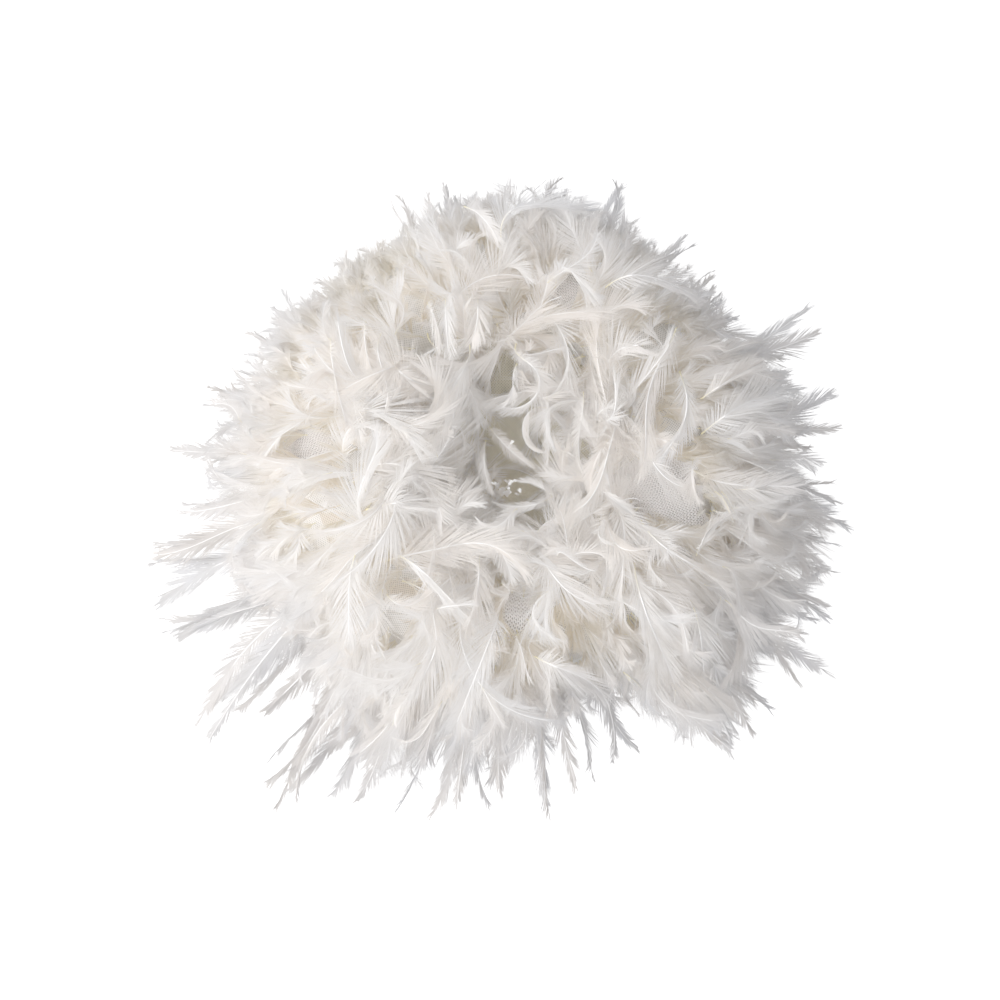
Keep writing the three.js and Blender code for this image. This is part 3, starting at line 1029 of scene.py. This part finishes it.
def ramp(tree, factor, stops):
    """Colours along a factor. stops are places on it and their colours."""
    node = add_node(tree, "ShaderNodeValToRGB", {"Fac": factor})
    while len(node.color_ramp.elements) < len(stops):
        node.color_ramp.elements.new(0.5)
    for element, (place, colour) in zip(node.color_ramp.elements, stops):
        element.position = place
        element.color = (*colour, 1)
    return node.outputs["Color"]


def multiplied(tree, colours):
    """The product of colours."""
    product = colours[0]
    for colour in colours[1:]:
        inputs = {"Factor": 1.0, "A": product, "B": colour}
        node = add_node(tree, "ShaderNodeMix", inputs, data_type="RGBA", blend_type="MULTIPLY")
        product = node.outputs["Result"]
    return product


def calculated(tree, operation, *values):
    """The result of a maths node on sockets and numbers."""
    return add_node(tree, "ShaderNodeMath", dict(enumerate(values)), operation=operation).outputs[0]


def coordinates(tree, space):
    return add_node(tree, "ShaderNodeTexCoord", {}).outputs[space]


def noise(tree, scale, detail):
    """Noise in the object's own space."""
    inputs = {"Vector": coordinates(tree, "Object"), "Scale": scale, "Detail": detail}
    return add_node(tree, "ShaderNodeTexNoise", inputs).outputs["Fac"]


def barb_material():
    """Off-white barbs, part see-through: feathers differ in warmth, strands in tone, and all are mottled.

    Painted shade makes them warmer and darker among the roots, and cooler and darker at the outline.
    """
    material, tree, shader = new_material("feather_barbs")
    colour = multiplied(tree, [
        ramp(tree, attribute(tree, "shade"),
             [(0.0, (0.97, 0.93, 0.89)), (0.5, (0.96, 0.94, 0.925)), (1.0, (0.95, 0.95, 0.955))]),
        ramp(tree, attribute(tree, "tone"),
             [(0.0, (0.86, 0.85, 0.83)), (0.5, (0.98, 0.975, 0.965)), (0.8, WHITE)]),
        ramp(tree, noise(tree, 60, 4), [(0.35, (0.95, 0.94, 0.92)), (0.65, WHITE)]),
        # Painted shade among the roots: warmer and darker.
        ramp(tree, attribute(tree, "deep"), [(0.0, WHITE), (1.0, (0.94, 0.86, 0.66))]),
        # Painted shade at the outline: cooler and darker.
        ramp(tree, attribute(tree, "rim"), [(0.0, WHITE), (1.0, (0.84, 0.85, 0.875))]),
    ])
    feed(tree, shader, {"Base Color": colour, "Roughness": 0.6, "Sheen Weight": 0.2, "Sheen Roughness": 0.4,
                        "Specular IOR Level": 0.3})
    through = add_node(tree, "ShaderNodeBsdfTranslucent", {"Color": colour})
    blend = add_node(tree, "ShaderNodeMixShader", {
        "Fac": 0.6, 1: shader.outputs["BSDF"], 2: through.outputs["BSDF"]})
    feed(tree, tree.nodes["Material Output"], {"Surface": blend.outputs["Shader"]})
    return material


def rachis_material():
    """Bright white horn, pale yellow at the quill end."""
    material, tree, shader = new_material("feather_rachis")
    tones = ramp(tree, attribute(tree, "along"),
                 [(0.0, (0.82, 0.70, 0.28)), (0.1, (0.92, 0.86, 0.66)), (0.25, (1.0, 0.99, 0.98))])
    feed(tree, shader, {"Base Color": tones, "Roughness": 0.38})
    return material


def fibre_material(name, light, dark, scale):
    """Spun fibre, mottled in tone and a little rough to the touch."""
    material, tree, shader = new_material(name)
    grain = noise(tree, scale, 6)
    bump = add_node(tree, "ShaderNodeBump", {"Height": grain, "Strength": 0.4, "Distance": 0.0004})
    feed(tree, shader, {"Base Color": ramp(tree, grain, [(0.3, dark), (0.7, light)]),
                        "Normal": bump.outputs["Normal"], **CLOTH})
    return material


def net_material(name, tone):
    """Fine knitting: painted shade in dots between its stitches, on cloth that is a little uneven in tone.

    Painted shade makes it darker and browner where it lies deep between the feathers.
    """
    material, tree, shader = new_material(name)
    turns = [calculated(tree, "MULTIPLY", attribute(tree, way), 2 * math.pi) for way in ("wale", "course")]
    # Painted shade: dark dots where the holes between the stitches lie in shade.
    stitch_shade = calculated(tree, "MULTIPLY", *[calculated(tree, "SINE", turn) for turn in turns])
    dark = [tuple(share * level for level in tone) for share in (0.68, 0.38)]
    colour = multiplied(tree, [
        ramp(tree, stitch_shade, [(0.0, tone), (0.3, dark[0]), (0.7, dark[1])]),
        ramp(tree, noise(tree, 240, 5), [(0.3, (0.88, 0.86, 0.83)), (0.7, WHITE)]),
        # Painted shade where the cloth lies deep between the feathers.
        ramp(tree, attribute(tree, "shown"),
             [(0.0, WHITE), (GAP_SHADE, (0.78, 0.69, 0.58)), (1.0, (0.42, 0.34, 0.28))]),
    ])
    feed(tree, shader, {"Base Color": colour, **CLOTH})
    return material


# ---- floor, light and camera ----

def pale_floor():
    """Plain glowing white, and a backdrop only: it throws no light and no shadow on the feathers.

    It doesn't glow under the tube, where it would shine through between the feathers: there it is left dark
    as a painted shadow.
    """
    half = 4.0
    mesh = bpy.data.meshes.new("floor")
    mesh.from_pydata([(-half, -half, 0), (half, -half, 0), (half, half, 0), (-half, half, 0)],
                     [], [(0, 1, 2, 3)])
    floor = in_scene("floor", mesh)
    material, tree, shader = new_material("pale_floor")
    ends = {0: coordinates(tree, "Object"), 1: (*RING_CENTRE, 0)}
    away = add_node(tree, "ShaderNodeVectorMath", ends, operation="DISTANCE")
    # Painted shadow: no glow in a ring under the tube.
    glow_with_painted_shadow = ramp(tree, away.outputs["Value"],
                [(0.052, WHITE), (0.060, BLACK), (0.137, BLACK), (0.146, WHITE)])
    feed(tree, shader, {"Base Color": (0.93, 0.93, 0.93, 1), "Roughness": 0.9, "Emission Color": glow_with_painted_shadow,
                        "Emission Strength": FLOOR_GLOW})
    mesh.materials.append(material)
    floor.visible_diffuse = False
    floor.visible_glossy = False
    floor.visible_transmission = False
    floor.visible_shadow = False


def key_light():
    """One large lamp, over the left."""
    data = bpy.data.lights.new("key", "AREA")
    data.shape = "DISK"
    data.size = KEY_SIZE
    data.energy = KEY_POWER
    data.color = (1.0, 0.96, 0.93)
    lamp = in_scene("key", data)
    lamp.location = KEY_PLACE
    aim = Vector((0, 0, 0.04)) - Vector(KEY_PLACE)
    lamp.rotation_euler = aim.to_track_quat("-Z", "Y").to_euler()


def light_from(tree, direction, behind, ahead):
    """A strength that grows from behind to ahead in a direction."""
    ends = {0: coordinates(tree, "Generated"), 1: direction}
    towards = add_node(tree, "ShaderNodeVectorMath", ends, operation="DOT_PRODUCT")
    strength = add_node(tree, "ShaderNodeMapRange", {
        "Value": towards.outputs["Value"], "From Min": -1, "From Max": 1, "To Min": behind, "To Max": ahead})
    return strength.outputs["Result"]


def studio():
    """Soft light all round, brighter from the left and from above, and a large lamp."""
    world = bpy.data.worlds.new("studio")
    world.use_nodes = True
    tree = world.node_tree
    strength = calculated(tree, "MULTIPLY", *[light_from(tree, *light) for light in (SIDE_LIGHT, TOP_LIGHT)])
    feed(tree, tree.nodes["Background"], {"Color": (0.97, 0.97, 1.0, 1), "Strength": strength})
    bpy.context.scene.world = world
    key_light()
    bpy.context.scene.view_settings.view_transform = "Standard"
    bpy.context.scene.view_settings.gamma = 2.2


def top_camera():
    """Straight down, with a long lens that frames a known width at the middle of the boa's height."""
    data = bpy.data.cameras.new("camera")
    camera = in_scene("camera", data)
    middle = (cad_low + cad_high) / 2
    data.sensor_width = SENSOR_WIDTH
    data.lens = SENSOR_WIDTH * (CAMERA_HEIGHT - middle.z) / FRAME_WIDTH
    camera.location = (middle.x, middle.y - 0.0018, CAMERA_HEIGHT)
    bpy.context.scene.camera = camera


# ---- assembly ----

pale_floor()
studio()
top_camera()

feather_materials = [barb_material(), rachis_material()]
for row_number, row in enumerate(TUFTS):
    members = sorted(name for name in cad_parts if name.startswith(f"tuft_{row}_"))
    for number, node in enumerate(members):
        rng = np.random.default_rng([7, row_number, number])
        made = feather_tuft(node, row, math.pi / len(members), rng, feather_materials)
        finish(made, "feather", node)

thread = fibre_material("thread", (0.92, 0.90, 0.86), (0.84, 0.81, 0.75), 1500)
# The wadding's beige is its cover's colour, darkened partly as painted shade for the inside of the tube.
core_roll(fibre_material("wadding", (0.72, 0.66, 0.55), (0.6, 0.54, 0.44), 300))
knitted_tube(net_material("net_cloth", (0.93, 0.90, 0.85)),
             fibre_material("yarn", (1.0, 0.95, 0.91), (0.97, 0.90, 0.85), 900))
# The slack net's cloth and yarn are darker, browner copies of the knitting's colours: painted shade for the
# bottom of the hole.
hole_net("knit_fold", net_material("slack_cloth_painted_shade", (0.70, 0.63, 0.44)),
         fibre_material("slack_yarn_painted_shade", (0.78, 0.71, 0.52), (0.66, 0.59, 0.40), 900))
sewing_threads(thread)
join_bands(fibre_material("binding", (0.88, 0.84, 0.78), (0.76, 0.72, 0.64), 1200), thread)
